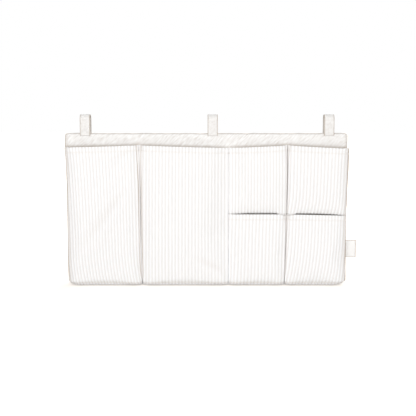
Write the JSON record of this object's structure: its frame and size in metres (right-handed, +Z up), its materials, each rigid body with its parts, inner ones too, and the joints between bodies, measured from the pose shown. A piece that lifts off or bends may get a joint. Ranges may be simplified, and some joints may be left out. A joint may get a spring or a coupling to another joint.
{
  "type": "bedside caddy",
  "caption": "Padded fabric caddy with wide-ribbed pockets under a plain header, hung from a rail by tape loops that open at the back.",
  "frame": {"origin": "the middle of the bed rail that the three tape loops go round, halfway along the caddy", "axes": "+X to the right seen from the pockets, -Y out of the pockets, +Z up"},
  "size_m": [0.4359, 0.0417, 0.2539],
  "materials": {
    "twill": "matt ecru twill",
    "ribbed_cloth": "matt white wide-rib cloth",
    "plain_cloth": "matt plain weave",
    "wadding": "soft polyester wadding",
    "tape": "matt woven tape",
    "closure": "hook-and-loop tape",
    "label_tape": "smooth woven label tape, bare"
  },
  "bodies": {
    "caddy": {"header_band": "twill", "face_cloth": "plain_cloth", "back_wadding": "wadding", "rear_cloth": "plain_cloth", "left_pocket_cloth": "ribbed_cloth", "left_pocket_lining": "plain_cloth", "centre_pocket_cloth": "ribbed_cloth", "centre_pocket_lining": "plain_cloth", "mid_upper_pocket_cloth": "ribbed_cloth", "mid_upper_pocket_lining": "plain_cloth", "right_upper_pocket_cloth": "ribbed_cloth", "right_upper_pocket_lining": "plain_cloth", "mid_lower_pocket_cloth": "ribbed_cloth", "mid_lower_pocket_lining": "plain_cloth", "right_lower_pocket_cloth": "ribbed_cloth", "right_lower_pocket_lining": "plain_cloth", "strap_left_riser": "tape", "strap_left_loop_patch": "closure", "strap_centre_riser": "tape", "strap_centre_loop_patch": "closure", "strap_right_riser": "tape", "strap_right_loop_patch": "closure", "side_label": "label_tape"},
    "strap_left_end": {"strap_left_tail": "tape", "strap_left_hook_patch": "closure"},
    "strap_centre_end": {"strap_centre_tail": "tape", "strap_centre_hook_patch": "closure"},
    "strap_right_end": {"strap_right_tail": "tape", "strap_right_hook_patch": "closure"}
  },
  "joints": [
    {"name": "strap_left_opens", "type": "hinge", "parent": "caddy", "child": "strap_left_end", "pos_m": [-0.18, 0.0079, 0.00615], "axis": [1, 0, 0], "range_deg": [0, 165]},
    {"name": "strap_centre_opens", "type": "hinge", "parent": "caddy", "child": "strap_centre_end", "pos_m": [0.0098, 0.0079, 0.00615], "axis": [1, 0, 0], "range_deg": [0, 165]},
    {"name": "strap_right_opens", "type": "hinge", "parent": "caddy", "child": "strap_right_end", "pos_m": [0.183, 0.0079, 0.00615], "axis": [1, 0, 0], "range_deg": [0, 165]}
  ]
}
